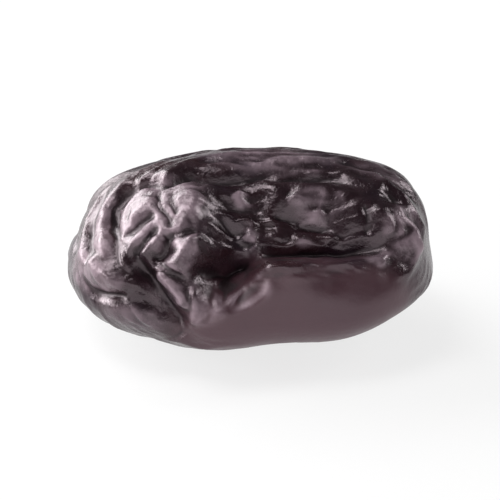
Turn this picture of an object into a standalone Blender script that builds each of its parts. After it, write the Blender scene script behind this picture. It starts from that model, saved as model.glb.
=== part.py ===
"""A dried prune: one solid of wrinkled skin and flesh, lying on a small flat spot.

The frame is in metres, +Z up. The prune's length runs along X, its origin is on the surface it lies on,
under the middle of its box, and its front, with the smooth flank, looks towards -Y.
The form is a plain egg-sectioned ball, lifted or sunk along its outward direction by sunken faces,
by folds drawn along lines, and by broad ripples that run with the grain of the skin.
"""
import bmesh
import bpy
import numpy as np

MM = 0.001

# Driving dimensions
LENGTH = 38.0 * MM
WIDTH = 28.0 * MM
HEIGHT = 18.2 * MM
WIDEST_LEVEL = 7.4 * MM
FLAT_SPOT_DEPTH = 0.45 * MM
BOXINESS = 2.25
CELLS = (40, 30, 20)

# Skin
SKIN_COLOUR = (0.020, 0.0085, 0.0115, 1.0)
SKIN_ROUGHNESS = 0.32

# Relief
FINEST_FOLD = 0.7 * MM
BODY_AREA = 2700.0 * MM * MM
FOLD_ROUNDNESS = 0.3
FOLD_FADE = 0.22
HIGHEST = 1.5 * MM
GROOVES_SPACING = 5.2 * MM
GROOVES_HEIGHT = 0.80 * MM

# Ends of the line that the wrinkles of the top and front run round, inside the body
SUNKEN_LINE = np.array([(-3.0, -8.0, 7.0), (12.5, -6.5, 6.0)]) * MM

# Folds of the top, front and ends: height over the body (below it if negative), width of one flank,
# and places that the fold passes, all in millimetres from the middle of the body at its widest level.
FOLDS = {
    "back roll": (0.9, 1.5, [
        (-9.0, 1.2, 10.0), (-5.3, 2.4, 10.7), (-2.2, 3.6, 10.8), (2.4, 4.2, 10.6), (6.8, 4.6, 10.1),
        (11.3, 5.0, 8.4), (14.2, 4.6, 7.0), (16.6, 3.0, 4.6)]),
    "back groove": (-0.6, 0.5, [
        (-9.5, 1.0, 9.9), (-4.0, 1.4, 10.8), (1.0, 1.3, 10.9), (6.0, 1.8, 10.4), (10.0, 2.4, 9.4),
        (14.0, 1.4, 7.5)]),
    "left rim ridge": (1.5, 1.05, [
        (-14.3, -9.7, 2.9), (-14.8, -8.4, 3.9), (-15.0, -6.9, 5.4), (-15.5, -4.4, 6.7), (-15.1, -1.6, 6.9),
        (-14.0, -0.6, 7.6), (-12.6, -0.2, 8.4), (-10.6, -0.4, 9.6), (-8.0, 0.2, 10.5), (-5.5, 1.6, 10.4),
        (-3.3, 2.7, 10.5)]),
    "rim band": (0.8, 0.6, [
        (-6.2, -0.4, 10.5), (-2.6, -0.1, 10.4), (1.0, 0.2, 11.1), (3.9, 0.4, 10.9), (7.2, 0.8, 10.1),
        (9.8, -0.2, 10.0), (11.7, -1.2, 9.4), (13.3, -2.4, 8.4)]),
    "rim groove": (-1.9, 0.7, [
        (-12.8, -10.5, 4.0), (-13.5, -8.8, 5.4), (-14.1, -6.0, 6.9), (-14.8, -2.0, 7.3), (-14.1, -1.2, 7.7),
        (-12.8, -0.8, 8.3), (-10.9, -0.9, 9.3), (-8.2, -2.3, 10.0), (-6.3, -1.1, 10.4), (-3.9, -1.3, 10.6),
        (0.5, -0.4, 10.9), (4.7, 0.0, 10.7), (7.7, 0.0, 10.1), (10.6, -1.4, 10.0), (12.1, -2.6, 9.0),
        (12.8, -4.6, 8.4)]),
    "front crease": (-2.1, 0.9, [
        (-5.3, -13.7, 1.0), (-4.2, -13.6, 3.0), (-2.6, -12.0, 5.9), (-0.5, -11.3, 7.5), (1.0, -11.2, 7.6),
        (3.7, -9.7, 8.2), (7.1, -9.8, 7.5), (9.9, -9.7, 6.6), (12.5, -8.5, 6.0), (14.3, -7.2, 5.8),
        (15.6, -6.5, 5.1)]),
    "flank lip": (1.15, 0.5, [
        (-5.9, -13.5, -1.6), (-4.8, -13.8, -0.0), (-2.7, -13.9, 2.3), (-1.2, -13.1, 3.8), (0.4, -12.3, 5.4),
        (1.5, -12.2, 6.0), (3.6, -12.2, 5.9), (6.5, -11.7, 5.6), (9.3, -10.8, 5.3), (12.2, -9.6, 4.9),
        (14.1, -8.4, 4.5), (15.4, -7.7, 4.0)]),
    "pinch crease": (-2.2, 0.95, [
        (-6.5, -12.8, -2.8), (-6.9, -13.2, -2.2), (-7.9, -13.4, -1.5), (-9.4, -13.0, 0.8),
        (-10.7, -12.4, 2.7), (-11.6, -11.1, 4.3), (-11.3, -10.4, 5.3), (-10.3, -10.1, 5.8)]),
    "pinch fan left": (1.3, 0.6, [
        (-10.3, -11.1, 4.9), (-9.7, -11.8, 4.4), (-8.8, -12.5, 3.5), (-8.1, -12.8, 2.8), (-7.2, -13.2, 1.9),
        (-6.7, -13.4, 0.2)]),
    "pinch fan middle": (1.2, 0.5, [
        (-6.2, -12.7, 4.4), (-6.1, -13.1, 3.3), (-5.9, -13.4, 1.8), (-5.9, -13.7, 0.6),
        (-6.4, -13.5, -1.3)]),
    "pinch fan right": (1.1, 0.45, [
        (-4.4, -12.5, 5.2), (-4.2, -13.4, 3.5), (-3.8, -13.8, 2.5), (-4.1, -13.9, 1.4)]),
    "left face edge": (0.7, 0.6, [
        (-6.2, -4.2, 9.8), (-5.8, -5.6, 9.5), (-5.5, -6.6, 9.2), (-6.2, -7.7, 9.1), (-7.0, -8.2, 8.9)]),
    "left face leg": (1.5, 1, [
        (-6.4, -8.7, 8.7), (-6.5, -9.8, 7.4), (-7.0, -10.3, 6.8), (-7.5, -11.1, 5.6), (-8.3, -11.8, 4.6)]),
    "left face groove": (-0.5, 0.38, [
        (-7.4, -3.7, 9.9), (-7.7, -4.9, 9.2), (-7.8, -6.2, 9.1), (-7.6, -7.6, 9.0)]),
    "slanting ridge above": (0.6, 0.42, [
        (-13.2, -9.0, 5.4), (-12.3, -8.8, 6.3), (-11.2, -8.2, 7.3), (-10.5, -7.6, 8.0)]),
    "slanting ridge below": (0.95, 0.5, [
        (-12.1, -10.0, 5.4), (-10.6, -9.7, 6.1), (-9.5, -9.0, 7.1), (-9.4, -8.2, 8.2)]),
    "slanting groove": (-0.75, 0.36, [
        (-12.6, -9.6, 5.3), (-11.5, -9.1, 6.5), (-10.6, -8.1, 7.7), (-9.5, -7.7, 8.5)]),
    "inner left ridge": (0.6, 0.42, [
        (-13.4, -6.2, 7.5), (-13.9, -7.6, 6.3), (-13.1, -9.3, 5.1), (-12.4, -10.7, 4.1),
        (-11.5, -12.2, 2.7)]),
    "low left ridge": (1.2, 0.85, [
        (-16.9, -5.7, 4.1), (-15.4, -8.1, 3.4), (-14.2, -9.5, 3.4), (-12.9, -11.0, 3.2),
        (-12.0, -12.1, 2.6), (-11.0, -12.7, 1.7)]),
    "low left groove": (-1.4, 0.65, [
        (-17.9, -5.7, 1.7), (-16.9, -7.0, 1.0), (-16.1, -8.2, 0.7), (-14.1, -10.3, 1.6),
        (-12.3, -12.2, 1.8), (-10.6, -12.8, 0.6), (-8.7, -13.2, -1.3), (-7.1, -13.1, -2.3)]),
    "low left roll": (0.35, 1.0, [
        (-16.4, -8.0, -0.6), (-13.8, -10.7, 0.6), (-11.8, -12.2, 0.1), (-9.7, -12.7, -1.4),
        (-7.9, -12.5, -2.9)]),
    "sunken face spot": (0.6, 0.5, [
        (-1.7, -2.6, 10.8), (-1.7, -4.1, 10.8), (-1.7, -5.0, 10.5)]),
    "sunken face bump": (0.95, 0.7, [
        (0.0, -5.4, 10.2), (-0.4, -7.8, 9.0), (-0.8, -9.2, 8.5)]),
    "sunken face line": (0.3, 0.35, [
        (-5.6, -7.6, 9.2), (-4.0, -6.8, 9.5), (-2.2, -5.8, 10.2), (1.3, -4.9, 10.4)]),
    "sunken face crease": (-0.9, 0.42, [
        (1.7, -5.0, 10.3), (3.5, -5.3, 10.2), (5.3, -6.2, 9.8), (7.6, -7.0, 9.4), (9.4, -6.7, 9.1)]),
    "sunken face roll above": (0.75, 1.1, [
        (3.0, -3.4, 10.2), (5.1, -4.5, 10.2), (6.9, -5.5, 9.9), (8.7, -5.7, 9.7)]),
    "sunken face roll below": (0.7, 0.7, [
        (3.7, -7.4, 9.5), (5.4, -8.5, 8.8), (7.6, -9.0, 8.1), (9.8, -7.7, 8.3)]),
    "right end ridge": (0.65, 0.5, [
        (11.9, 2.8, 9.7), (13.6, 0.1, 8.8), (15.4, -1.0, 7.6), (16.6, -1.9, 6.4), (17.8, -2.7, 4.8),
        (18.6, -2.5, 2.5)]),
    "right end groove": (-0.8, 0.5, [
        (12.6, -1.2, 8.9), (14.6, -1.7, 8.0), (15.4, -4.0, 6.7), (17.1, -3.7, 5.1), (17.0, -5.2, 3.9)]),
    "right face ridge": (1.3, 0.6, [
        (14.5, -2.3, 7.9), (15.3, -4.1, 6.7), (16.3, -4.5, 5.4), (16.5, -5.7, 4.4), (17.1, -5.7, 2.6)]),
    "right face short ridge": (0.65, 0.45, [
        (12.6, -4.3, 8.6), (13.4, -4.9, 8.0), (14.1, -5.5, 7.0), (14.3, -6.6, 6.3)]),
    "left end ridge": (0.6, 0.55, [
        (-12.1, 2.2, 8.9), (-15.0, 2.2, 7.1), (-16.4, 0.5, 5.6), (-17.5, -2.4, 4.7), (-17.4, -5.4, 3.3),
        (-16.9, -6.8, 2.0)]),
    "left end groove": (-0.8, 0.45, [
        (-13.5, 1.0, 8.1), (-15.2, 0.3, 6.9), (-16.3, -1.4, 5.8), (-17.2, -3.6, 5.0), (-15.5, -7.7, 3.9)]),
    "left tip groove": (-0.6, 0.5, [
        (-16.4, 3.8, 5.8), (-17.7, 3.5, 3.5), (-18.6, -0.4, 2.9), (-18.3, -4.7, 1.8)]),
    "left face second groove": (-0.55, 0.38, [
        (-8.7, -3.0, 9.7), (-9.2, -4.4, 9.2), (-9.1, -6.0, 8.8), (-8.7, -7.2, 8.8), (-8.6, -8.5, 8.2)]),
    "left face band": (0.5, 1, [
        (-13.2, -5.5, 7.9), (-11.8, -5.5, 8.5), (-10.5, -4.8, 8.8), (-9.6, -3.9, 9.2)]),
    "slanting groove above": (-0.7, 0.42, [
        (-13.7, -7.3, 6.5), (-12.2, -7.0, 7.8), (-10.8, -6.6, 8.4), (-9.4, -6.4, 8.7)]),
    "slanting groove below": (-1.1, 0.55, [
        (-8.6, -8.0, 8.6), (-8.6, -8.9, 7.8), (-9.2, -9.8, 6.4), (-10.1, -10.5, 5.5)]),
    "pit lip": (1.4, 0.42, [
        (-3.5, -14.0, 1.6), (-2.5, -13.8, 2.6), (-1.3, -13.1, 3.9), (0.2, -12.4, 5.3), (1.4, -12.1, 6.1)]),
    "sunken face upper groove": (-0.25, 0.45, [
        (-4.5, -4.6, 10.2), (-3.0, -4.3, 10.8), (-0.1, -3.5, 10.8), (2.6, -3.1, 10.3)]),
    "right face groove": (-0.7, 0.45, [
        (11.9, -3.4, 9.2), (12.5, -4.8, 8.6), (12.5, -6.2, 7.8), (12.0, -7.5, 7.2)]),
    "right face inner ridge": (0.6, 0.4, [
        (14.1, -4.3, 7.6), (15.0, -5.2, 6.4), (15.5, -6.3, 5.3)]),
}


def unit(v):
    """Each row of v, one long."""
    return v / np.maximum(np.linalg.norm(v, axis=-1, keepdims=True), 1e-12)


def smooth(low, high, v):
    """0 below low, 1 above high, and a smooth S between."""
    t = np.clip((v - low) / (high - low), 0, 1)
    return t * t * (3 - 2 * t)


def half_sizes(d):
    """Half the body's size each way: less below its widest level than above it."""
    up = HEIGHT - WIDEST_LEVEL
    return np.where(d[:, 2:] > 0, [[LENGTH / 2, WIDTH / 2, up]], [[LENGTH / 2, WIDTH / 2, WIDEST_LEVEL]])


def body(d):
    """The plain body in direction d: a boxy ball, fuller at its left, its underside rising to the right."""
    p = d * half_sizes(d) * ((np.abs(d) ** BOXINESS).sum(axis=1) ** (-1 / BOXINESS))[:, None]
    along = p[:, 0] / (LENGTH / 2)
    p[:, 1] *= 1 - 0.10 * smooth(0.25, 1.0, along)
    p[:, 2] *= 1 - np.where(p[:, 2] > 0, 0.0, 0.46) * smooth(0.0, 1.0, along)
    p[:, 2] *= 1 + np.where(p[:, 2] > 0, 0.10, 0.0) * smooth(0.2, 0.9, along)
    p[:, 1] *= 1 + 0.03 * smooth(0.1, 0.8, -along)
    return p


def outward(d):
    """Outward direction of the plain body in direction d."""
    return unit(np.sign(d) * np.abs(d) ** (BOXINESS - 1) / half_sizes(d))


def waves(p, length, seed, count=24):
    """A smooth uneven field of about -1 to 1: a sum of plane waves of about the given length."""
    rng = np.random.default_rng(seed)
    k = unit(rng.normal(size=(count, 3))) * (2 * np.pi / (length * rng.uniform(0.7, 1.5, (count, 1))))
    phase = rng.uniform(0, 2 * np.pi, count)
    return np.sin(p @ k.T + phase).sum(axis=1) / np.sqrt(count / 2) / 1.6


def shifted(p, length, amount, seed):
    """Points moved a little by three such fields, so that lines drawn there wander."""
    return p + amount * np.stack([waves(p, length, seed + axis) for axis in range(3)], axis=1)


def spline(stations, steps=24):
    """A smooth line through the stations (Catmull-Rom)."""
    s = np.vstack([2 * stations[0] - stations[1], stations, 2 * stations[-1] - stations[-2]])
    t = np.linspace(0, 1, steps, endpoint=False)[:, None]
    line = []
    for a, b, c, e in zip(s[:-3], s[1:-2], s[2:-1], s[3:]):
        bend = (c - a) * t + (2 * a - 5 * b + 4 * c - e) * t**2 + (3 * b - a - 3 * c + e) * t**3
        line.append(b + bend / 2)
    return np.concatenate(line + [s[-2:-1]])


def fold(p, height, width, stations):
    """Lift at points p: height on the fold's line, falling away over its flanks' width and at its ends."""
    d = unit(spline(stations))
    line = body(unit(spline(stations) / half_sizes(d)))
    step = np.gradient(line, axis=0)
    length = np.linalg.norm(step, axis=1)
    along = step / length[:, None]
    run = np.concatenate([[0], np.cumsum((length[1:] + length[:-1]) / 2)])
    reach = 7 * width
    near = ((p > line.min(axis=0) - reach) & (p < line.max(axis=0) + reach)).all(axis=1)
    q = p[near]
    nearest = ((q[:, None] - line) ** 2).sum(axis=2).argmin(axis=1)
    away = q - line[nearest]
    forward = (away * along[nearest]).sum(axis=1)
    off = (away**2).sum(axis=1) - forward**2
    past = np.maximum(np.abs(forward) - 1.5 * length[nearest], 0)
    place = np.clip((run[nearest] + forward) / run[-1], 0, 1)
    fade = smooth(0, FOLD_FADE, place) * smooth(0, FOLD_FADE, 1 - place)
    r = np.sqrt((np.maximum(off, 0) + past**2) / width**2 + FOLD_ROUNDNESS**2) - FOLD_ROUNDNESS
    lift = np.zeros(len(p))
    lift[near] = height * fade * np.exp(-r) * (1 + 0.35 * r)
    return lift


def long_folds(count=13, seed=17):
    """Folds of the back and underside: they run end to end, ridge and groove by turns, each wandering."""
    rng = np.random.default_rng(seed)
    folds = []
    for k in range(count):
        turn = np.radians(118 + 190 * (k + rng.uniform(0.15, 0.85)) / count)
        start, stop = sorted([rng.uniform(-0.97, -0.35), rng.uniform(0.35, 0.97)])
        wander = rng.uniform(-0.25, 0.25, 3)
        t = np.linspace(start, stop, 7)
        angle = turn + wander[0] * np.sin(2.2 * t + 6 * wander[1]) + wander[2] * t
        rest = np.sqrt(1 - t * t)
        d = np.stack([t, -rest * np.cos(angle), rest * np.sin(angle)], axis=1)
        height = rng.uniform(0.2, 0.45) if k % 2 else -rng.uniform(0.35, 0.75)
        folds.append((height * MM, rng.uniform(1.0, 1.6) * MM, d * half_sizes(d)))
    return folds


def scattered(count, seed):
    """Places spread like a sunflower's seeds, each moved a little, and the way out of the body there."""
    rng = np.random.default_rng(seed)
    k = np.arange(count) + 0.5
    z = 1 - 2 * k / count
    turn = k * np.pi * (3 - np.sqrt(5))
    d = np.stack([np.sqrt(1 - z * z) * np.cos(turn), np.sqrt(1 - z * z) * np.sin(turn), z], axis=1)
    d = unit(d + rng.normal(size=(count, 3)) * 0.9 / np.sqrt(count))
    return body(d), outward(d), rng


def grain(c, n):
    """The way wrinkles run at c: round the sunken line on top and in front, end to end elsewhere."""
    run = SUNKEN_LINE[1] - SUNKEN_LINE[0]
    share = np.clip((c - SUNKEN_LINE[0]) @ run / (run @ run), 0, 1)[:, None]
    r = unit(c - SUNKEN_LINE[0] - share * run)
    around = np.cross(n, r)
    clear = smooth(0.2, 0.7, np.linalg.norm(around, axis=1, keepdims=True))
    lengthwise = unit(np.array([1.0, 0, 0]) - n * n[:, :1])
    around = unit(around) * np.where((around * lengthwise).sum(axis=1, keepdims=True) < 0, -1, 1)
    below = smooth(1, 5, -c[:, 2] / MM) * smooth(-9, 3, c[:, 1] / MM)
    back = np.maximum(smooth(1, 9, c[:, 1] / MM), below)[:, None]
    share = clear * (1 - back)
    return unit(around * share + lengthwise * (1 - share))


def ripples(p, spacing, seed, long=1.6, wide=0.8, jitter=0.10, crest=0.42, power=1.2, full=1.3):
    """Ridges that run side by side with the grain, join and end, about -0.3 to 0.7 high.

    Many short wave packets, each with its own place, way and phase, are summed as complex numbers.
    The sum's angle is the place across a ridge, and its size says how well the packets agree there.
    """
    sl, sc = long * spacing, wide * spacing
    count = int(BODY_AREA / (sl * sc) * 1.6)
    c, n, rng = scattered(count, seed)
    t = unit(grain(c, n) + jitter * rng.normal(size=(count, 3)))
    t = unit(t - (t * n).sum(axis=1, keepdims=True) * n)
    k = unit(np.cross(n, t)) * (2 * np.pi / (spacing * rng.uniform(0.85, 1.18, (count, 1))))
    phase = rng.uniform(0, 2 * np.pi, count)
    away = p[:, None] - c
    far = (away**2).sum(axis=2) - (1 - (sc / sl) ** 2) * np.einsum("ijk,jk->ij", away, t) ** 2
    weight = np.clip(1 - far / (8 * sc**2), 0, 1) ** 4
    total = (weight * np.exp(1j * (np.einsum("ijk,jk->ij", away, k) + phase))).sum(axis=1)
    calm = smooth(0, full, np.abs(total) / np.median(np.abs(total)))
    s = np.abs(np.sin(np.angle(total) / 2))
    ridge = 1 - (np.sqrt(s**2 + crest**2) - crest) / (np.sqrt(1 + crest**2) - crest)
    return calm * (ridge**power - 0.33)


def sunken(ellipse, inner, outer):
    """1 inside an oval and 0 outside it: ellipse is the distance from its middle in half sizes."""
    return 1 - smooth(inner, outer, np.sqrt(sum(part**2 for part in ellipse)))


def smooth_places(p):
    """1 on the plump front flank and the flat spot below, which hold no ripples, and 0 elsewhere."""
    x, y, z = p.T / MM
    flank = sunken([(x - 5.5) / 12, (z - 0.2) / 4.6], 0.80, 1.12) * (y < 0)
    spot = (1 - smooth(3.5, 7.0, np.hypot(x / 1.25, y))) * (z < 0)
    return np.maximum(flank, spot)


def gathered(lifts):
    """Folds that meet don't pile up: ridges, and grooves apart, add as the fourth root of fourth powers."""
    ridges = sum(np.maximum(lift, 0) ** 4 for lift in lifts) ** 0.25
    grooves = sum(np.minimum(lift, 0) ** 4 for lift in lifts) ** 0.25
    return ridges - grooves


def relief(p):
    """Height of the skin over the plain body at its points p."""
    q = shifted(shifted(p, 7.0 * MM, 0.30 * MM, 100), 3.0 * MM, 0.11 * MM, 200)
    x, y, z = q.T / MM
    top = smooth(0.5, 4.0, p[:, 2] / MM)
    face = sunken([(x + 9.8) / 5.0, (y + 5.6) / 4.6], 0.72, 1.05) * top
    hollow = sunken([(x - 4.4) / 11.2, (y + 7.8) / 5.6], 0.3, 1.15) * top
    pit = sunken([(x + 2.6) / 4.3, (z - 5.4) / 4.2], 0.35, 1.05) * (y < 0)
    lift = (0.8 * face - 2.5 * hollow - 3.4 * pit) * MM
    lift -= 1.1 * MM * sunken([(x + 1.3) / 4.0, (y + 5.6) / 5.2], 0.35, 1.05) * top
    lift -= 0.7 * MM * sunken([(x + 3.0) / 12.0, (y - 13.0) / 6.0, (z - 2.5) / 4.4], 0.3, 1.25)
    lift += 0.5 * MM * waves(p, 15.0 * MM, 300)
    rough = 1 - smooth_places(p)
    folds = []
    for height, width, stations in FOLDS.values():
        folds.append(fold(q, height * MM, max(width * MM, FINEST_FOLD), np.array(stations) * MM))
    for height, width, stations in long_folds():
        folds.append(fold(q, height, max(width, FINEST_FOLD), stations) * rough)
    lift += gathered(folds)
    far_side = smooth(-3.0, 4.0, p[:, 1] / MM) * (0.65 + 0.35 * smooth(-3.0, 4.0, p[:, 2] / MM))
    tips = 1 - 0.65 * smooth(0.80, 0.97, np.abs(p[:, 0]) / (LENGTH / 2))
    amount = (0.85 + 0.30 * waves(p, 9.0 * MM, 500)) * (0.15 + 0.85 * far_side + 0.20 * hollow) * tips
    grooves = ripples(shifted(p, 6.0 * MM, 0.5 * MM, 400), GROOVES_SPACING, 21)
    lift += GROOVES_HEIGHT * grooves * amount * rough
    return np.where(lift > 0, HIGHEST * np.tanh(lift / HIGHEST), lift)


def box_grid():
    """A cube whose sides are grids of CELLS squares, as a bmesh."""
    bm = bmesh.new()
    bmesh.ops.create_cube(bm, size=2.0)
    for axis in range(3):
        runs = [e for e in bm.edges if abs(e.verts[0].co[axis] - e.verts[1].co[axis]) > 1.0]
        bmesh.ops.subdivide_edges(bm, edges=runs, cuts=CELLS[axis] - 1, use_grid_fill=True)
    return bm


def place_points(bm, p):
    """Moves the bmesh's points to the rows of p."""
    for vert, place in zip(bm.verts, p):
        vert.co = place


def skin_material():
    """Near-black purple skin with a soft gloss."""
    material = bpy.data.materials.new("prune skin")
    material.use_nodes = True
    shader = material.node_tree.nodes["Principled BSDF"]
    shader.inputs["Base Color"].default_value = SKIN_COLOUR
    shader.inputs["Roughness"].default_value = SKIN_ROUGHNESS
    shader.inputs["Metallic"].default_value = 0.0
    return material


def build_prune():
    """The prune: a gridded cube blown up to the body, given its relief, eased, and set on its flat."""
    bm = box_grid()
    corners = np.array([vert.co for vert in bm.verts])
    d = unit(np.tan(corners * np.pi / 4))
    p = body(d)
    place_points(bm, p + outward(d) * relief(p)[:, None])
    bmesh.ops.smooth_vert(bm, verts=bm.verts, factor=0.35, use_axis_x=True, use_axis_y=True, use_axis_z=True)
    p = np.array([vert.co for vert in bm.verts])
    low, high = p.min(axis=0), p.max(axis=0)
    low[2] += FLAT_SPOT_DEPTH
    p = (p - (low + high) / 2) * np.array([LENGTH, WIDTH, HEIGHT]) / (high - low)
    p[:, 2] = np.maximum(p[:, 2] + HEIGHT / 2, 0)
    place_points(bm, p)
    bmesh.ops.recalc_face_normals(bm, faces=bm.faces)
    mesh = bpy.data.meshes.new("prune")
    bm.to_mesh(mesh)
    bm.free()
    mesh.shade_smooth()
    mesh.materials.append(skin_material())
    bpy.context.scene.collection.objects.link(bpy.data.objects.new("prune", mesh))


for old in list(bpy.data.objects):
    bpy.data.objects.remove(old)
build_prune()
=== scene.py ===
"""A dried prune seen close up: wrinkled, glossy near-black skin on a pale floor under soft light.

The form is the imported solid's plain body with the same sunken faces and broad ripples, the folds at
their true widths, and two finer sets of ripples. It is worked out in millimetres and fitted to the
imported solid's box in metres.
"""

import bpy
import numpy as np
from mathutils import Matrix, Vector


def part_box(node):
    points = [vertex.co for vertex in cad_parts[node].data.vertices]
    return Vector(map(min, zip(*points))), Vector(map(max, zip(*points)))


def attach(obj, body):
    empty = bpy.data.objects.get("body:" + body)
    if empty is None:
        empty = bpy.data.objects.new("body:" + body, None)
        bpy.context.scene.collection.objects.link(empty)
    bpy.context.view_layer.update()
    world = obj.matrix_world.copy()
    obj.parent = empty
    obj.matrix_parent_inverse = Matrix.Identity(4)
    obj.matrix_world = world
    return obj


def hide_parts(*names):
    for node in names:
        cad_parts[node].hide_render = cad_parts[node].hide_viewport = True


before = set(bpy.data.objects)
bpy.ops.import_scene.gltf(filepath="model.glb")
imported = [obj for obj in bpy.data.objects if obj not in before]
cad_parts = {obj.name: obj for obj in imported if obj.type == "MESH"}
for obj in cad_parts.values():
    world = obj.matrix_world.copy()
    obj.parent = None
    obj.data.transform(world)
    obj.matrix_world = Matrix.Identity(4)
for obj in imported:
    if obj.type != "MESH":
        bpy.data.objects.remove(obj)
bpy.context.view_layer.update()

MM = 0.001

# Body, in millimetres
LENGTH, WIDTH, HEIGHT = 38.0, 28.0, 18.2
WIDEST_LEVEL = 7.4
FLAT_SPOT_DEPTH = 0.45
BOXINESS = 2.25
BODY_AREA = 2700.0
CELLS = (168, 126, 84)

# Relief, in millimetres: what rises over the plain body and what sinks below it
FACE_RISE = 0.8
HOLLOW_DEPTH = 2.5
PIT_DEPTH = 3.4
DIP_DEPTH = 1.1
BACK_DEPTH = 0.7
SWELL_HEIGHT, SWELL_LENGTH = 0.5, 15.0
HIGHEST = 1.5
SUNKEN_LINE = np.array([(-3.0, -8.0, 7.0), (12.5, -6.5, 6.0)])

# Ripples, in millimetres: height and spacing of each set, and about the mean height of a ridge 1 high
BROAD_HEIGHT, BROAD_SPACING = 0.80, 5.2
MIDDLE_HEIGHT, MIDDLE_SPACING = 0.36, 2.3
FINE_HEIGHT, FINE_SPACING = 0.12, 1.1
RIDGE_MEAN = 0.33

# Wave packets: how many cover the body, and the square of their reach in packet sizes
PACKET_COVER = 1.6
PACKET_REACH = 8

# Fold profile: rounding of its line, shoulder and reach in widths, and share of its length that fades
FOLD_ROUNDNESS = 0.3
FOLD_SHOULDER = 0.35
FOLD_REACH = 7
FOLD_FADE = 0.22

# Long folds of the back and the underside: where they start about X and how far they span, in degrees
BACK_START, BACK_SPAN = 118, 190

# Rounds of easing: of the finished surface, and of the one that crests are measured from
SURFACE_ROUNDS = 1
CREST_ROUNDS = 12

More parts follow.
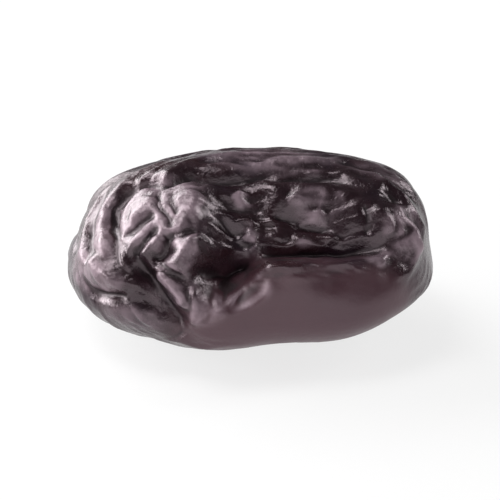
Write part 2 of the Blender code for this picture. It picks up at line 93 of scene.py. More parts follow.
# Folds of the top, front and ends: height over the body (below it if negative), width of one flank,
# and places that the fold passes, all in millimetres from the middle of the body at its widest level.
# The places of the folds that the photograph shows weren't chosen in millimetres: they were worked
# out outside this script, from points that were read off the photograph.
FOLDS = {
    "back roll": (0.9, 1.5, [
        (-9.0, 1.2, 10.0), (-5.3, 2.4, 10.7), (-2.2, 3.6, 10.8), (2.4, 4.2, 10.6), (6.8, 4.6, 10.1),
        (11.3, 5.0, 8.4), (14.2, 4.6, 7.0), (16.6, 3.0, 4.6)]),
    "back groove": (-0.6, 0.5, [
        (-9.5, 1.0, 9.9), (-4.0, 1.4, 10.8), (1.0, 1.3, 10.9), (6.0, 1.8, 10.4), (10.0, 2.4, 9.4),
        (14.0, 1.4, 7.5)]),
    "left rim ridge": (1.5, 1.05, [
        (-14.3, -9.7, 2.9), (-14.8, -8.4, 3.9), (-15.0, -6.9, 5.4), (-15.5, -4.4, 6.7), (-15.1, -1.6, 6.9),
        (-14.0, -0.6, 7.6), (-12.6, -0.2, 8.4), (-10.6, -0.4, 9.6), (-8.0, 0.2, 10.5), (-5.5, 1.6, 10.4),
        (-3.3, 2.7, 10.5)]),
    "rim band": (0.8, 0.6, [
        (-6.2, -0.4, 10.5), (-2.6, -0.1, 10.4), (1.0, 0.2, 11.1), (3.9, 0.4, 10.9), (7.2, 0.8, 10.1),
        (9.8, -0.2, 10.0), (11.7, -1.2, 9.4), (13.3, -2.4, 8.4)]),
    "rim groove": (-1.9, 0.7, [
        (-12.8, -10.5, 4.0), (-13.5, -8.8, 5.4), (-14.1, -6.0, 6.9), (-14.8, -2.0, 7.3), (-14.1, -1.2, 7.7),
        (-12.8, -0.8, 8.3), (-10.9, -0.9, 9.3), (-8.2, -2.3, 10.0), (-6.3, -1.1, 10.4), (-3.9, -1.3, 10.6),
        (0.5, -0.4, 10.9), (4.7, 0.0, 10.7), (7.7, 0.0, 10.1), (10.6, -1.4, 10.0), (12.1, -2.6, 9.0),
        (12.8, -4.6, 8.4)]),
    "front crease": (-2.1, 0.9, [
        (-5.3, -13.7, 1.0), (-4.2, -13.6, 3.0), (-2.6, -12.0, 5.9), (-0.5, -11.3, 7.5), (1.0, -11.2, 7.6),
        (3.7, -9.7, 8.2), (7.1, -9.8, 7.5), (9.9, -9.7, 6.6), (12.5, -8.5, 6.0), (14.3, -7.2, 5.8),
        (15.6, -6.5, 5.1)]),
    "flank lip": (1.15, 0.5, [
        (-5.9, -13.5, -1.6), (-4.8, -13.8, -0.0), (-2.7, -13.9, 2.3), (-1.2, -13.1, 3.8), (0.4, -12.3, 5.4),
        (1.5, -12.2, 6.0), (3.6, -12.2, 5.9), (6.5, -11.7, 5.6), (9.3, -10.8, 5.3), (12.2, -9.6, 4.9),
        (14.1, -8.4, 4.5), (15.4, -7.7, 4.0)]),
    "pinch crease": (-2.2, 0.95, [
        (-6.5, -12.8, -2.8), (-6.9, -13.2, -2.2), (-7.9, -13.4, -1.5), (-9.4, -13.0, 0.8),
        (-10.7, -12.4, 2.7), (-11.6, -11.1, 4.3), (-11.3, -10.4, 5.3), (-10.3, -10.1, 5.8)]),
    "pinch fan left": (1.3, 0.6, [
        (-10.3, -11.1, 4.9), (-9.7, -11.8, 4.4), (-8.8, -12.5, 3.5), (-8.1, -12.8, 2.8), (-7.2, -13.2, 1.9),
        (-6.7, -13.4, 0.2)]),
    "pinch fan middle": (1.2, 0.5, [
        (-6.2, -12.7, 4.4), (-6.1, -13.1, 3.3), (-5.9, -13.4, 1.8), (-5.9, -13.7, 0.6),
        (-6.4, -13.5, -1.3)]),
    "pinch fan right": (1.1, 0.45, [
        (-4.4, -12.5, 5.2), (-4.2, -13.4, 3.5), (-3.8, -13.8, 2.5), (-4.1, -13.9, 1.4)]),
    "left face edge": (0.7, 0.6, [
        (-6.2, -4.2, 9.8), (-5.8, -5.6, 9.5), (-5.5, -6.6, 9.2), (-6.2, -7.7, 9.1), (-7.0, -8.2, 8.9)]),
    "left face leg": (1.5, 1, [
        (-6.4, -8.7, 8.7), (-6.5, -9.8, 7.4), (-7.0, -10.3, 6.8), (-7.5, -11.1, 5.6), (-8.3, -11.8, 4.6)]),
    "left face groove": (-0.5, 0.38, [
        (-7.4, -3.7, 9.9), (-7.7, -4.9, 9.2), (-7.8, -6.2, 9.1), (-7.6, -7.6, 9.0)]),
    "slanting ridge above": (0.6, 0.42, [
        (-13.2, -9.0, 5.4), (-12.3, -8.8, 6.3), (-11.2, -8.2, 7.3), (-10.5, -7.6, 8.0)]),
    "slanting ridge below": (0.95, 0.5, [
        (-12.1, -10.0, 5.4), (-10.6, -9.7, 6.1), (-9.5, -9.0, 7.1), (-9.4, -8.2, 8.2)]),
    "slanting groove": (-0.75, 0.36, [
        (-12.6, -9.6, 5.3), (-11.5, -9.1, 6.5), (-10.6, -8.1, 7.7), (-9.5, -7.7, 8.5)]),
    "inner left ridge": (0.6, 0.42, [
        (-13.4, -6.2, 7.5), (-13.9, -7.6, 6.3), (-13.1, -9.3, 5.1), (-12.4, -10.7, 4.1),
        (-11.5, -12.2, 2.7)]),
    "low left ridge": (1.2, 0.85, [
        (-16.9, -5.7, 4.1), (-15.4, -8.1, 3.4), (-14.2, -9.5, 3.4), (-12.9, -11.0, 3.2),
        (-12.0, -12.1, 2.6), (-11.0, -12.7, 1.7)]),
    "low left groove": (-1.4, 0.65, [
        (-17.9, -5.7, 1.7), (-16.9, -7.0, 1.0), (-16.1, -8.2, 0.7), (-14.1, -10.3, 1.6),
        (-12.3, -12.2, 1.8), (-10.6, -12.8, 0.6), (-8.7, -13.2, -1.3), (-7.1, -13.1, -2.3)]),
    "low left roll": (0.35, 1.0, [
        (-16.4, -8.0, -0.6), (-13.8, -10.7, 0.6), (-11.8, -12.2, 0.1), (-9.7, -12.7, -1.4),
        (-7.9, -12.5, -2.9)]),
    "sunken face spot": (0.6, 0.5, [
        (-1.7, -2.6, 10.8), (-1.7, -4.1, 10.8), (-1.7, -5.0, 10.5)]),
    "sunken face bump": (0.95, 0.7, [
        (0.0, -5.4, 10.2), (-0.4, -7.8, 9.0), (-0.8, -9.2, 8.5)]),
    "sunken face line": (0.3, 0.35, [
        (-5.6, -7.6, 9.2), (-4.0, -6.8, 9.5), (-2.2, -5.8, 10.2), (1.3, -4.9, 10.4)]),
    "sunken face crease": (-0.9, 0.42, [
        (1.7, -5.0, 10.3), (3.5, -5.3, 10.2), (5.3, -6.2, 9.8), (7.6, -7.0, 9.4), (9.4, -6.7, 9.1)]),
    "sunken face roll above": (0.75, 1.1, [
        (3.0, -3.4, 10.2), (5.1, -4.5, 10.2), (6.9, -5.5, 9.9), (8.7, -5.7, 9.7)]),
    "sunken face roll below": (0.7, 0.7, [
        (3.7, -7.4, 9.5), (5.4, -8.5, 8.8), (7.6, -9.0, 8.1), (9.8, -7.7, 8.3)]),
    "right end ridge": (0.65, 0.5, [
        (11.9, 2.8, 9.7), (13.6, 0.1, 8.8), (15.4, -1.0, 7.6), (16.6, -1.9, 6.4), (17.8, -2.7, 4.8),
        (18.6, -2.5, 2.5)]),
    "right end groove": (-0.8, 0.5, [
        (12.6, -1.2, 8.9), (14.6, -1.7, 8.0), (15.4, -4.0, 6.7), (17.1, -3.7, 5.1), (17.0, -5.2, 3.9)]),
    "right face ridge": (1.3, 0.6, [
        (14.5, -2.3, 7.9), (15.3, -4.1, 6.7), (16.3, -4.5, 5.4), (16.5, -5.7, 4.4), (17.1, -5.7, 2.6)]),
    "right face short ridge": (0.65, 0.45, [
        (12.6, -4.3, 8.6), (13.4, -4.9, 8.0), (14.1, -5.5, 7.0), (14.3, -6.6, 6.3)]),
    "left end ridge": (0.6, 0.55, [
        (-12.1, 2.2, 8.9), (-15.0, 2.2, 7.1), (-16.4, 0.5, 5.6), (-17.5, -2.4, 4.7), (-17.4, -5.4, 3.3),
        (-16.9, -6.8, 2.0)]),
    "left end groove": (-0.8, 0.45, [
        (-13.5, 1.0, 8.1), (-15.2, 0.3, 6.9), (-16.3, -1.4, 5.8), (-17.2, -3.6, 5.0), (-15.5, -7.7, 3.9)]),
    "left tip groove": (-0.6, 0.5, [
        (-16.4, 3.8, 5.8), (-17.7, 3.5, 3.5), (-18.6, -0.4, 2.9), (-18.3, -4.7, 1.8)]),
    "left face second groove": (-0.55, 0.38, [
        (-8.7, -3.0, 9.7), (-9.2, -4.4, 9.2), (-9.1, -6.0, 8.8), (-8.7, -7.2, 8.8), (-8.6, -8.5, 8.2)]),
    "left face band": (0.5, 1, [
        (-13.2, -5.5, 7.9), (-11.8, -5.5, 8.5), (-10.5, -4.8, 8.8), (-9.6, -3.9, 9.2)]),
    "slanting groove above": (-0.7, 0.42, [
        (-13.7, -7.3, 6.5), (-12.2, -7.0, 7.8), (-10.8, -6.6, 8.4), (-9.4, -6.4, 8.7)]),
    "slanting groove below": (-1.1, 0.55, [
        (-8.6, -8.0, 8.6), (-8.6, -8.9, 7.8), (-9.2, -9.8, 6.4), (-10.1, -10.5, 5.5)]),
    "pit lip": (1.4, 0.42, [
        (-3.5, -14.0, 1.6), (-2.5, -13.8, 2.6), (-1.3, -13.1, 3.9), (0.2, -12.4, 5.3), (1.4, -12.1, 6.1)]),
    "sunken face upper groove": (-0.25, 0.45, [
        (-4.5, -4.6, 10.2), (-3.0, -4.3, 10.8), (-0.1, -3.5, 10.8), (2.6, -3.1, 10.3)]),
    "right face groove": (-0.7, 0.45, [
        (11.9, -3.4, 9.2), (12.5, -4.8, 8.6), (12.5, -6.2, 7.8), (12.0, -7.5, 7.2)]),
    "right face inner ridge": (0.6, 0.4, [
        (14.1, -4.3, 7.6), (15.0, -5.2, 6.4), (15.5, -6.3, 5.3)]),
}

# Skin colours
DARK_PURPLE = (0.0095, 0.0028, 0.0050, 1)
RED_BROWN = (0.0210, 0.0046, 0.0062, 1)
VIOLET = (0.0085, 0.0044, 0.0098, 1)
PALE_PURPLE = (0.036, 0.0165, 0.0232, 1)
FLANK_BROWN = (0.061, 0.0240, 0.0325, 1)
# Pale lilac-grey of waxy dust, also used as painted highlight on lit ridges and facets
LILAC_BLOOM_AND_HIGHLIGHT = (0.310, 0.230, 0.268, 1)
# Painted shade: a near-black laid into the creases, where shade falls
CREASE_SHADE = (0.0035, 0.0013, 0.0018, 1)

# Skin texture, in millimetres: size of its crinkles and pebbles, and depth of the bump they make
CRINKLE_SIZE = 0.7
PEBBLE_SIZE = 0.35
BUMP_DEPTH = 0.11

# Ovals of pale waxy dust on the skin, partly painted highlight set where lit ridges and facets catch the
# light: strength, middle and half sizes, in millimetres from the body's middle
BLOOM_AND_HIGHLIGHT_OVALS = {
    "left face": (1.0, (-9.2, -5.6, 8.6), (5.2, 5.2, 5.0)),
    "left face leg": (1.0, (-7.2, -10.2, 7.0), (1.9, 2.4, 2.6)),
    "pinch": (1.0, (-8.8, -12.6, 3.2), (3.0, 2.2, 3.0)),
    "pinch ends": (0.8, (-4.9, -13.4, 1.6), (2.2, 2.2, 2.2)),
    "pit lip": (1.0, (-1.0, -13.0, 3.9), (3.0, 1.8, 2.8)),
    "left rim": (0.9, (-15.0, -4.6, 5.8), (2.2, 6.4, 3.6)),
    "left end": (0.9, (-16.2, -6.8, 2.6), (3.6, 6.0, 2.6)),
    "rim band": (0.7, (1.6, 2.2, 10.8), (7.5, 2.4, 2.4)),
    "right shoulder": (0.5, (12.6, 2.6, 9.0), (4.4, 2.2, 2.4)),
    "low left end": (0.5, (-13.0, -11.4, -1.0), (4.4, 3.0, 1.6)),
    "sunken face patch": (1.0, (6.0, -4.0, 8.3), (2.4, 2.0, 2.6)),
    "lower patch": (1.0, (5.9, -8.0, 6.9), (2.3, 1.3, 2.2)),
    "small patch": (0.6, (8.6, -3.5, 8.6), (1.0, 1.2, 1.8)),
    "bump": (1.0, (-0.3, -7.5, 7.3), (0.9, 1.8, 2.2)),
    "spot": (0.9, (-1.2, -3.8, 9.6), (0.7, 1.6, 2.0)),
    "right face": (0.9, (15.6, -5.0, 6.0), (2.6, 3.0, 3.6)),
    "flank lip": (0.7, (13.4, -8.6, 4.9), (2.4, 1.6, 1.2)),
}

# Softboxes: place and size in metres, and radiance
SOFTBOXES = {
    "left softbox": ((-0.42, 0.36, 0.26), (0.56, 0.34), 7.4),
    "low left softbox": ((-0.52, 0.22, 0.12), (0.40, 0.18), 5.2),
    "left front softbox": ((-0.52, -0.04, 0.22), (0.36, 0.18), 6.5),
    "top softbox": ((-0.22, 0.05, 0.55), (0.25, 0.25), 7.5),
    "right softbox": ((0.45, 0.20, 0.25), (0.14, 0.26), 8.0),
    "front fill": ((0.0, -0.50, 0.17), (1.00, 0.36), 1.1),
}
SURROUND = 0.08


def unit(v):
    """Each row of v divided by its length."""
    return v / np.maximum(np.linalg.norm(v, axis=-1, keepdims=True), 1e-12)


def smooth(low, high, v):
    """t² (3 − 2t), where t runs from 0 at low to 1 at high."""
    t = np.clip((v - low) / (high - low), 0, 1)
    return t * t * (3 - 2 * t)


def box_ball(counts):
    """Directions and four-cornered faces of a ball that is made from a cube.

    Each side of the cube is a grid (1, tan u, tan v), and each row is made a unit long.
    """
    points, quads, start = [], [], 0
    for axis in range(3):
        a, b = counts[(axis + 1) % 3], counts[(axis + 2) % 3]
        turn_a, turn_b = (np.tan(np.linspace(-1, 1, n + 1) * np.pi / 4) for n in (a, b))
        u, v = np.meshgrid(turn_a, turn_b, indexing="ij")
        i, j = np.meshgrid(np.arange(a), np.arange(b), indexing="ij")
        corner = (i * (b + 1) + j).ravel()
        quad = np.stack([corner, corner + b + 1, corner + b + 2, corner + 1], axis=1)
        for sign in (1.0, -1.0):
            side = np.stack([np.full_like(u, sign), u, v], axis=-1)
            points.append(np.roll(side, axis, axis=-1).reshape(-1, 3))
            quads.append((quad if sign > 0 else quad[:, ::-1]) + start)
            start += len(points[-1])
    points = unit(np.concatenate(points))
    _, first, index = np.unique(np.round(points, 6), axis=0, return_index=True, return_inverse=True)
    return points[first], index.reshape(-1)[np.concatenate(quads)]


def half_sizes(d):
    """Half the body's size each way: less below its widest level than above it."""
    up = HEIGHT - WIDEST_LEVEL
    return np.where(d[:, 2:] > 0, [[LENGTH / 2, WIDTH / 2, up]], [[LENGTH / 2, WIDTH / 2, WIDEST_LEVEL]])


def body(d):
    """The plain body: d times the half sizes over (|x|^b + |y|^b + |z|^b)^(1/b), b the boxiness.

    Towards the right end it is slimmer, its underside much higher and its top a little higher, and
    towards the left end it is a little wider.
    """
    p = d * half_sizes(d) * ((np.abs(d) ** BOXINESS).sum(axis=1) ** (-1 / BOXINESS))[:, None]
    along = p[:, 0] / (LENGTH / 2)
    p[:, 1] *= 1 - 0.10 * smooth(0.25, 1.0, along)
    p[:, 2] *= 1 - np.where(p[:, 2] > 0, 0.0, 0.46) * smooth(0.0, 1.0, along)
    p[:, 2] *= 1 + np.where(p[:, 2] > 0, 0.10, 0.0) * smooth(0.2, 0.9, along)
    p[:, 1] *= 1 + 0.03 * smooth(0.1, 0.8, -along)
    return p


def outward(d):
    """Outward direction of the plain body: sign(d) |d|^(b − 1) over the half sizes, made a unit long."""
    return unit(np.sign(d) * np.abs(d) ** (BOXINESS - 1) / half_sizes(d))


def waves(p, length, seed, count=24):
    """Sum of sines of p along random directions, scaled to about -1 to 1.

    The wavelengths are 0.7 to 1.5 times length.
    """
    rng = np.random.default_rng(seed)
    k = unit(rng.normal(size=(count, 3))) * (2 * np.pi / (length * rng.uniform(0.7, 1.5, (count, 1))))
    phase = rng.uniform(0, 2 * np.pi, count)
    return np.sin(p @ k.T + phase).sum(axis=1) / np.sqrt(count / 2) / 1.6


def shifted(p, length, amount, seed):
    """p plus amount times three such sums, one for each axis, so that lines drawn there wander."""
    return p + amount * np.stack([waves(p, length, seed + axis) for axis in range(3)], axis=1)


def spline(stations, steps=24):
    """Catmull-Rom line: cubic pieces through the stations.

    At each station the line runs as the straight line between its two neighbours does.
    """
    s = np.vstack([2 * stations[0] - stations[1], stations, 2 * stations[-1] - stations[-2]])
    t = np.linspace(0, 1, steps, endpoint=False)[:, None]
    line = []
    for a, b, c, e in zip(s[:-3], s[1:-2], s[2:-1], s[3:]):
        bend = (c - a) * t + (2 * a - 5 * b + 4 * c - e) * t**2 + (3 * b - a - 3 * c + e) * t**3
        line.append(b + bend / 2)
    return np.concatenate(line + [s[-2:-1]])


def nearest_row(p, line, block=20000):
    """For each row of p, the index of the row of line that is nearest."""
    halves = (line**2).sum(axis=1) / 2
    parts = np.array_split(p, max(1, len(p) // block))
    return np.concatenate([(halves - part @ line.T).argmin(axis=1) for part in parts])


def fold(p, height, width, stations):
    """height e^(−r) (1 + 0.35 r), where r is the distance to the fold's line in widths.

    r is rounded near 0, and the height fades to 0 at both ends of the line.
    """
    drawn = spline(stations)
    line = body(unit(drawn / half_sizes(drawn)))
    step = np.gradient(line, axis=0)
    length = np.linalg.norm(step, axis=1)
    along = step / length[:, None]
    run = np.concatenate([[0], np.cumsum((length[1:] + length[:-1]) / 2)])
    reach = FOLD_REACH * width
    near = ((p > line.min(axis=0) - reach) & (p < line.max(axis=0) + reach)).all(axis=1)
    q = p[near]
    nearest = nearest_row(q, line)
    away = q - line[nearest]
    forward = (away * along[nearest]).sum(axis=1)
    off = (away**2).sum(axis=1) - forward**2
    past = np.maximum(np.abs(forward) - 1.5 * length[nearest], 0)
    place = np.clip((run[nearest] + forward) / run[-1], 0, 1)
    fade = smooth(0, FOLD_FADE, place) * smooth(0, FOLD_FADE, 1 - place)
    r = np.sqrt((np.maximum(off, 0) + past**2) / width**2 + FOLD_ROUNDNESS**2) - FOLD_ROUNDNESS
    lift = np.zeros(len(p))
    lift[near] = height * fade * np.exp(-r) * (1 + FOLD_SHOULDER * r)
    return lift


def long_folds(count=13, seed=17):
    """Folds of the back and the underside, each a height, a width and seven places.

    x runs from end to end, and the turn about X wanders by a sine and a slant.
    """
    rng = np.random.default_rng(seed)
    folds = []
    for k in range(count):
        turn = np.radians(BACK_START + BACK_SPAN * (k + rng.uniform(0.15, 0.85)) / count)
        start, stop = sorted([rng.uniform(-0.97, -0.35), rng.uniform(0.35, 0.97)])
        wander = rng.uniform(-0.25, 0.25, 3)
        t = np.linspace(start, stop, 7)
        angle = turn + wander[0] * np.sin(2.2 * t + 6 * wander[1]) + wander[2] * t
        rest = np.sqrt(1 - t * t)
        d = np.stack([t, -rest * np.cos(angle), rest * np.sin(angle)], axis=1)
        height = rng.uniform(0.2, 0.45) if k % 2 else -rng.uniform(0.35, 0.75)
        folds.append((height, rng.uniform(1.0, 1.6), d * half_sizes(d)))
    return folds


def scattered(count, seed):
    """Places over the body, the way out at each, and the random generator that moved them.

    They step evenly in height, each turned on by the golden angle and moved a little.
    """
    rng = np.random.default_rng(seed)
    k = np.arange(count) + 0.5
    z = 1 - 2 * k / count
    turn = k * np.pi * (3 - np.sqrt(5))
    d = np.stack([np.sqrt(1 - z * z) * np.cos(turn), np.sqrt(1 - z * z) * np.sin(turn), z], axis=1)
    d = unit(d + rng.normal(size=(count, 3)) * 0.9 / np.sqrt(count))
    return body(d), outward(d), rng


def grain(c, n):
    """The way wrinkles run: the outward direction crossed with the way from the sunken line.

    On the back and the underside it is blended to X.
    """
    run = SUNKEN_LINE[1] - SUNKEN_LINE[0]
    share = np.clip((c - SUNKEN_LINE[0]) @ run / (run @ run), 0, 1)[:, None]
    r = unit(c - SUNKEN_LINE[0] - share * run)
    around = np.cross(n, r)
    clear = smooth(0.2, 0.7, np.linalg.norm(around, axis=1, keepdims=True))
    lengthwise = unit(np.array([1.0, 0, 0]) - n * n[:, :1])
    around = unit(around) * np.where((around * lengthwise).sum(axis=1, keepdims=True) < 0, -1, 1)
    below = smooth(1, 5, -c[:, 2]) * smooth(-9, 3, c[:, 1])
    back = np.maximum(smooth(1, 9, c[:, 1]), below)[:, None]
    share = clear * (1 - back)
    return unit(around * share + lengthwise * (1 - share))


def groups(p, size):
    """Row numbers of p, grouped by the cube of the given size that each point lies in."""
    _, group = np.unique(np.floor(p / size).astype(int), axis=0, return_inverse=True)
    group = group.reshape(-1)
    order = np.argsort(group, kind="stable")
    return np.split(order, np.flatnonzero(np.diff(group[order])) + 1)


def ripples(p, spacing, seed, long=2.0, wide=0.8, jitter=0.10, crest=0.30, power=1.3, full=1.3):
    """Ridges that run side by side with the grain, join and end, about -0.3 to 0.7 high.

    Wave packets w e^(i (k.(p − c) + phase)) are summed, where w = (1 − d²/8)⁴ and d is the distance
    in packet sizes. The ridge is 1 − |sin(angle / 2)|, rounded and less about its mean, times a
    smooth step of the sum's size over its median.
    """
    sl, sc = long * spacing, wide * spacing
    count = int(BODY_AREA / (sl * sc) * PACKET_COVER)
    c, n, rng = scattered(count, seed)
    t = unit(grain(c, n) + jitter * rng.normal(size=(count, 3)))
    t = unit(t - (t * n).sum(axis=1, keepdims=True) * n)
    k = unit(np.cross(n, t)) * (2 * np.pi / (spacing * rng.uniform(0.85, 1.18, (count, 1))))
    phase = rng.uniform(0, 2 * np.pi, count)
    base = (c * k).sum(axis=1) - phase
    reach = np.sqrt(PACKET_REACH) * sl
    total = np.zeros(len(p), complex)
    for group in groups(p, reach * 0.6):
        q = p[group]
        middle, half = (q.min(axis=0) + q.max(axis=0)) / 2, (q.max(axis=0) - q.min(axis=0)) / 2
        mine = (np.abs(c - middle) < reach + half).all(axis=1)
        forward = q @ t[mine].T - (c[mine] * t[mine]).sum(axis=1)
        far = (q**2).sum(axis=1)[:, None] - 2 * q @ c[mine].T + (c[mine] ** 2).sum(axis=1)
        stretched = far - (1 - (sc / sl) ** 2) * forward**2
        weight = np.clip(1 - stretched / (PACKET_REACH * sc**2), 0, 1) ** 4
        total[group] = (weight * np.exp(1j * (q @ k[mine].T - base[mine]))).sum(axis=1)
    calm = smooth(0, full, np.abs(total) / np.median(np.abs(total)))
    s = np.abs(np.sin(np.angle(total) / 2))
    ridge = 1 - (np.sqrt(s**2 + crest**2) - crest) / (np.sqrt(1 + crest**2) - crest)
    return calm * (ridge**power - RIDGE_MEAN)


def sunken(ellipse, inner, outer):
    """1 inside an oval and 0 outside it: ellipse holds the distances from its middle in half sizes."""
    return 1 - smooth(inner, outer, np.sqrt(sum(part**2 for part in ellipse)))


def smooth_places(p):
    """1 on the plump flank in front and the flat spot below, which hold hardly any ripples, 0 elsewhere."""
    x, y, z = p.T
    flank = sunken([(x - 5.5) / 12, (z - 0.2) / 4.6], 0.80, 1.12) * (y < 0)
    spot = (1 - smooth(3.5, 7.0, np.hypot(x / 1.25, y))) * (z < 0)
    return np.maximum(flank, spot)


def gathered(lifts):
    """Folds that meet don't pile up: they add as the fourth root of the sum of fourth powers.

    Ridges and grooves are added apart.
    """
    ridges = sum(np.maximum(lift, 0) ** 4 for lift in lifts) ** 0.25
    grooves = sum(np.minimum(lift, 0) ** 4 for lift in lifts) ** 0.25
    return ridges - grooves


def relief(p):
    """Height over the plain body: sunken and raised ovals, swells, folds and three sets of ripples."""
    q = shifted(shifted(p, 7.0, 0.30, 100), 3.0, 0.11, 200)
    x, y, z = q.T
    top = smooth(0.5, 4.0, p[:, 2])
    face = sunken([(x + 9.8) / 5.0, (y + 5.6) / 4.6], 0.72, 1.05) * top
    hollow = sunken([(x - 4.4) / 11.2, (y + 7.8) / 5.6], 0.3, 1.15) * top
    lift = FACE_RISE * face - HOLLOW_DEPTH * hollow
    pit = sunken([(x + 2.6) / 4.3, (z - 5.4) / 4.2], 0.35, 1.05) * (y < 0)
    lift -= PIT_DEPTH * pit
    lift -= DIP_DEPTH * sunken([(x + 1.3) / 4.0, (y + 5.6) / 5.2], 0.35, 1.05) * top
    lift -= BACK_DEPTH * sunken([(x + 3.0) / 12.0, (y - 13.0) / 6.0, (z - 2.5) / 4.4], 0.3, 1.25)
    lift += SWELL_HEIGHT * waves(p, SWELL_LENGTH, 300)
    rough = 1 - smooth_places(p)
    folds = [fold(q, height, width, np.array(stations)) for height, width, stations in FOLDS.values()]
    folds += [fold(q, height, width, stations) * rough for height, width, stations in long_folds()]
    folds = gathered(folds)
    lift += folds
    open_skin = smooth(-1.5, -0.4, folds) * (1 - 0.7 * np.maximum(face, pit))
    open_skin = open_skin * (1 - 0.4 * smooth(-10, -15, x))
    far_side = smooth(-3.0, 4.0, p[:, 1]) * (0.65 + 0.35 * smooth(-3.0, 4.0, p[:, 2]))
    tips = 1 - 0.65 * smooth(0.80, 0.97, np.abs(p[:, 0]) / (LENGTH / 2))
    busy = (0.85 + 0.30 * waves(p, 9.0, 500)) * (0.15 + 0.85 * far_side + 0.20 * hollow) * tips
    broad = ripples(shifted(p, 6.0, 0.5, 400), BROAD_SPACING, 21, long=1.6, power=1.2, crest=0.42)
    lift += BROAD_HEIGHT * broad * busy * rough
    lift = np.where(lift > 0, HIGHEST * np.tanh(lift / HIGHEST), lift)
    quiet = 1 - 0.85 * sunken([(x - 0.8) / 2.6, (y + 3.4) / 2.2], 0.5, 1.2) * top
    busy = np.clip(0.65 + 0.45 * waves(p, 8.0, 700) + 0.35 * hollow, 0.15, 1.3)
    busy = busy * tips * open_skin * quiet
    middle = ripples(shifted(p, 3.2, 0.22, 600), MIDDLE_SPACING, 22, crest=0.36)
    lift += MIDDLE_HEIGHT * middle * busy * (0.03 + 0.97 * rough)
    busy = np.clip(0.55 + 0.50 * waves(p, 6.0, 900), 0.1, 1.2) * open_skin
    fine = ripples(shifted(p, 1.6, 0.10, 800), FINE_SPACING, 23)
    lift += FINE_HEIGHT * fine * busy * (0.1 + 0.9 * rough)
    return lift


def eased(p, sides, rounds):
    """p after that many rounds in which each point moves half way to the mean of its neighbours."""
    degree = np.bincount(sides.ravel(), minlength=len(p))[:, None]
    for _ in range(rounds):
        total = np.stack([np.bincount(sides[:, 0], p[sides[:, 1], k], len(p)) +
                          np.bincount(sides[:, 1], p[sides[:, 0], k], len(p)) for k in range(3)], axis=1)
        p = (p + total / degree) / 2
    return p


def standing(p, n, sides, rounds):
    """How far each point stands out of the eased surface, in millimetres.

    It is above 0 on crests and below 0 in creases.
    """
    return ((p - eased(p, sides, rounds)) * n).sum(axis=1)


def browned(p):
    """1 on the front from the lip of the flank down, where the skin is a lighter brown, and 0 elsewhere."""
    x, y, z = shifted(p, 4.0, 0.4, 1300).T
    return sunken([(x - 5.0) / 14.0, (z + 1.2) / 7.4], 0.72, 1.02) * smooth(-6.0, -9.0, y)


def bloom_and_highlight(p):
    """How much pale waxy dust, partly painted highlight, lies on the skin at p.

    It is each listed oval's own strength within that oval, the ovals set where lit ridges and facets catch
    the light, and uneven patches on the far side.
    """
    cover = 0.22 * smooth(-0.4, 1.0, waves(p, 9.0, 1100)) * smooth(-1.0, 5.0, p[:, 1])
    p = shifted(p, 2.4, 0.35, 1200)
    for strength, middle, half in BLOOM_AND_HIGHLIGHT_OVALS.values():
        away = np.linalg.norm((p - middle) / half, axis=1)
        cover = np.maximum(cover, strength * (1 - smooth(0.65, 1.15, away)))
    return cover


def set_attribute(mesh, name, values):
    """A number for each of the mesh's points, which materials read by its name."""
    mesh.attributes.new(name, "FLOAT", "POINT").data.foreach_set("value", values.astype(np.float32))


def fitted(p, low, high):
    """p scaled so that its box, less the flat spot's depth, runs from low to high, and cut flat below."""
    p_low, p_high = p.min(axis=0), p.max(axis=0)
    p_low[2] += FLAT_SPOT_DEPTH
    p = low + (p - p_low) * (high - low) / (p_high - p_low)
    p[:, 2] = np.maximum(p[:, 2], low[2])
    return p


def build_prune(low, high):
    """The body lifted by its relief along the outward direction, eased once and fitted to the box."""
    d, quads = box_ball(CELLS)
    sides = np.concatenate([quads[:, [0, 1]], quads[:, [1, 2]], quads[:, [2, 3]], quads[:, [3, 0]]])
    sides = np.unique(np.sort(sides, axis=1), axis=0)
    n = outward(d)
    p = body(d)
    p = eased(p + n * relief(p)[:, None], sides, SURFACE_ROUNDS)
    mesh = bpy.data.meshes.new("wrinkled_prune")
    mesh.from_pydata(fitted(p, np.array(low), np.array(high)), [], quads)
    set_attribute(mesh, "crest", standing(p, n, sides, CREST_ROUNDS))
    set_attribute(mesh, "bloom_and_highlight", bloom_and_highlight(p))
    set_attribute(mesh, "plump", smooth_places(p))
    set_attribute(mesh, "brown", browned(p))
    mesh.shade_smooth()
    prune = bpy.data.objects.new("wrinkled_prune", mesh)
    bpy.context.scene.collection.objects.link(prune)
    return prune


def add(tree, kind, inputs=None, **settings):
    """A new node with its settings and inputs: an input is a plain value or another node's output."""
    node = tree.nodes.new(kind)
    for name, value in settings.items():
        setattr(node, name, value)
    for name, value in (inputs or {}).items():
        if isinstance(value, bpy.types.NodeSocket):
            tree.links.new(value, node.inputs[name])
        else:
            node.inputs[name].default_value = value
    return node


def maths(tree, operation, a, b):
    """a and b put together by the operation."""
    return add(tree, "ShaderNodeMath", {0: a, 1: b}, operation=operation).outputs[0]


def between(tree, value, low, high, start=0.0, stop=1.0):
    """start below low, stop above high, and a smooth S between."""
    inputs = {"Value": value, "From Min": low, "From Max": high, "To Min": start, "To Max": stop}
    node = add(tree, "ShaderNodeMapRange", inputs, interpolation_type="SMOOTHSTEP")
    return node.outputs["Result"]


def mixed(tree, share, first, second):
    """first where share is 0 and second where it is 1.

    Colours go through the node's inputs 6 and 7 and its output 2.
    """
    node = add(tree, "ShaderNodeMix", {0: share, 6: first, 7: second}, data_type="RGBA")
    return node.outputs[2]


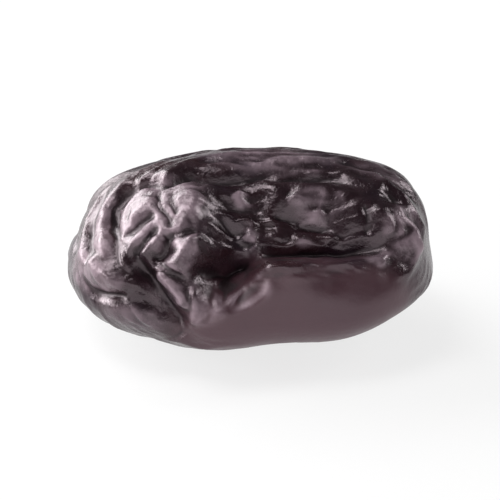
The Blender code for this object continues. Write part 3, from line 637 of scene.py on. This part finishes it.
def patches_group():
    """Uneven patches: a noise of the given size, cut to a mask by a smooth step from Low to High."""
    group = bpy.data.node_groups.new("patches", "ShaderNodeTree")
    group.interface.new_socket("Place", in_out="INPUT", socket_type="NodeSocketVector")
    for name, value in {"Size": 0.01, "Seed": 0.0, "Detail": 3.0, "Low": 0.4, "High": 0.6}.items():
        socket = group.interface.new_socket(name, in_out="INPUT", socket_type="NodeSocketFloat")
        socket.default_value = value
    group.interface.new_socket("Mask", in_out="OUTPUT", socket_type="NodeSocketFloat")
    given = group.nodes.new("NodeGroupInput").outputs
    scale = maths(group, "DIVIDE", 1.0, given["Size"])
    inputs = {"Vector": given["Place"], "W": given["Seed"], "Scale": scale, "Detail": given["Detail"],
              "Roughness": 0.55}
    noise = add(group, "ShaderNodeTexNoise", inputs, noise_dimensions="4D")
    mask = between(group, noise.outputs["Fac"], given["Low"], given["High"])
    group.links.new(mask, group.nodes.new("NodeGroupOutput").inputs["Mask"])
    return group


def placed_patches(tree, group, place, size, seed, low, high, detail=3.0):
    """The mask of one set of patches, the group placed in the material with its own values."""
    node = add(tree, "ShaderNodeGroup", node_tree=group)
    for name, value in (("Size", size), ("Seed", seed), ("Detail", detail), ("Low", low), ("High", high)):
        node.inputs[name].default_value = value
    tree.links.new(place, node.inputs["Place"])
    return node.outputs["Mask"]


def skin_material():
    """Near-black purple skin with a soft gloss: red and violet patches, painted shade in the creases, pale
    waxy dust that is partly painted highlight.
    """
    material = bpy.data.materials.new("prune skin")
    material.use_nodes = True
    tree = material.node_tree
    shader = tree.nodes["Principled BSDF"]
    place = add(tree, "ShaderNodeTexCoord").outputs["Object"]
    group = patches_group()
    crest = add(tree, "ShaderNodeAttribute", attribute_name="crest").outputs["Fac"]
    bloom_and_highlight_share = add(tree, "ShaderNodeAttribute", attribute_name="bloom_and_highlight").outputs["Fac"]
    red = placed_patches(tree, group, place, 9.0 * MM, 1.0, 0.45, 0.70)
    violet = placed_patches(tree, group, place, 7.0 * MM, 5.0, 0.48, 0.70)
    mottle = placed_patches(tree, group, place, 1.5 * MM, 9.0, 0.32, 0.68, 4.0)
    colour = mixed(tree, red, DARK_PURPLE, RED_BROWN)
    colour = mixed(tree, violet, colour, VIOLET)
    colour = mixed(tree, maths(tree, "MULTIPLY", mottle, 0.30), colour, PALE_PURPLE)
    plump = add(tree, "ShaderNodeAttribute", attribute_name="plump").outputs["Fac"]
    brown = add(tree, "ShaderNodeAttribute", attribute_name="brown").outputs["Fac"]
    colour = mixed(tree, maths(tree, "MULTIPLY", brown, 0.80), colour, FLANK_BROWN)
    raised = between(tree, crest, -0.05, 0.06, 0.05, 1.0)
    cover = maths(tree, "MULTIPLY", maths(tree, "MULTIPLY", bloom_and_highlight_share, raised),
                  between(tree, mottle, 0.0, 1.0, 0.55, 1.0))
    # Painted highlight: pale lilac-grey on raised crests inside the ovals, partly real waxy dust and partly
    # light on lit ridges
    colour = mixed(tree, maths(tree, "MULTIPLY", cover, 0.80), colour, LILAC_BLOOM_AND_HIGHLIGHT)
    crease = between(tree, crest, 0.0, -0.12)
    # Painted shade: the creases are darkened towards near-black
    colour = mixed(tree, maths(tree, "MULTIPLY", crease, 0.80), colour, CREASE_SHADE)
    tree.links.new(colour, shader.inputs["Base Color"])
    rough = maths(tree, "ADD", maths(tree, "MULTIPLY", mottle, 0.08), 0.21)
    for mask, share in ((crease, 0.15), (cover, 0.08), (brown, 0.16)):
        rough = maths(tree, "ADD", rough, maths(tree, "MULTIPLY", mask, share))
    backward = add(tree, "ShaderNodeSeparateXYZ", {"Vector": place}).outputs["Y"]
    rough = maths(tree, "ADD", rough, between(tree, backward, 0.0, 7.0 * MM, 0.0, 0.08))
    tree.links.new(rough, shader.inputs["Roughness"])
    shader.inputs["Specular IOR Level"].default_value = 0.85
    shader.inputs["Specular Tint"].default_value = (1.0, 0.83, 0.90, 1)
    inputs = {"Vector": place, "Scale": 1 / (CRINKLE_SIZE * MM), "Detail": 4.0, "Roughness": 0.6,
              "Distortion": 0.6}
    crinkle = add(tree, "ShaderNodeTexNoise", inputs)
    inputs = {"Vector": place, "Scale": 1 / (PEBBLE_SIZE * MM)}
    pebble = add(tree, "ShaderNodeTexVoronoi", inputs, feature="SMOOTH_F1")
    pits = maths(tree, "MULTIPLY", pebble.outputs["Distance"], -0.25)
    height = maths(tree, "ADD", crinkle.outputs["Fac"], pits)
    height = maths(tree, "MULTIPLY", height, between(tree, plump, 0.0, 1.0, 1.0, 0.35))
    bump = add(tree, "ShaderNodeBump", {"Height": height, "Strength": 0.8, "Distance": BUMP_DEPTH * MM})
    tree.links.new(bump.outputs["Normal"], shader.inputs["Normal"])
    return material


def build_floor(side=2.0):
    """A flat square of plain white paper at z = 0: each corner is (u, v, 0), u and v half the side."""
    u, v = np.meshgrid([-side / 2, side / 2], [-side / 2, side / 2], indexing="ij")
    corners = np.stack([u, v, np.zeros_like(u)], axis=-1).reshape(-1, 3)
    mesh = bpy.data.meshes.new("floor")
    mesh.from_pydata(corners, [], [(0, 2, 3, 1)])
    material = bpy.data.materials.new("white paper")
    material.use_nodes = True
    shader = material.node_tree.nodes["Principled BSDF"]
    shader.inputs["Base Color"].default_value = (0.20, 0.20, 0.20, 1)
    shader.inputs["Roughness"].default_value = 0.8
    shader.inputs["Specular IOR Level"].default_value = 0.1
    shader.inputs["Emission Color"].default_value = (1, 1, 1, 1)
    shader.inputs["Emission Strength"].default_value = 0.76
    mesh.materials.append(material)
    floor = bpy.data.objects.new("floor", mesh)
    bpy.context.scene.collection.objects.link(floor)
    return floor


def add_softbox(name, place, size, radiance):
    """An area light of that size, turned towards the prune, as bright as the radiance says."""
    light = bpy.data.lights.new(name, "AREA")
    light.shape = "RECTANGLE"
    light.size, light.size_y = size
    light.energy = radiance * size[0] * size[1] * np.pi
    holder = bpy.data.objects.new(name, light)
    holder.location = place
    holder.rotation_euler = (Vector((0, 0, 0.01)) - Vector(place)).to_track_quat("-Z", "Y").to_euler()
    bpy.context.scene.collection.objects.link(holder)


def add_studio():
    """A dim even surround, softboxes on the left, above and on the right, and a low fill in front."""
    world = bpy.data.worlds.new("studio")
    bpy.context.scene.world = world
    world.use_nodes = True
    background = world.node_tree.nodes["Background"]
    background.inputs["Color"].default_value = (1, 1, 1, 1)
    background.inputs["Strength"].default_value = SURROUND
    for name, (place, size, radiance) in SOFTBOXES.items():
        add_softbox(name, place, size, radiance)


def add_camera(elevation=26.0, distance=0.36, aim=(0.0, 0.0, 0.0085), focal=250.0, sensor=36.0):
    """A long lens that looks at the prune's front from the photograph's height."""
    lens = bpy.data.cameras.new("camera")
    lens.lens = focal
    lens.sensor_width = sensor
    camera = bpy.data.objects.new("camera", lens)
    back = Vector((0.0, -np.cos(np.radians(elevation)), np.sin(np.radians(elevation))))
    camera.location = Vector(aim) + back * distance
    camera.rotation_euler = (-back).to_track_quat("-Z", "Y").to_euler()
    bpy.context.scene.collection.objects.link(camera)
    bpy.context.scene.camera = camera


prune = build_prune(*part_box("prune"))
prune.data.materials.append(skin_material())
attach(prune, "root")
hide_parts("prune")

build_floor()
add_studio()
add_camera()
bpy.context.scene.view_settings.view_transform = "Standard"
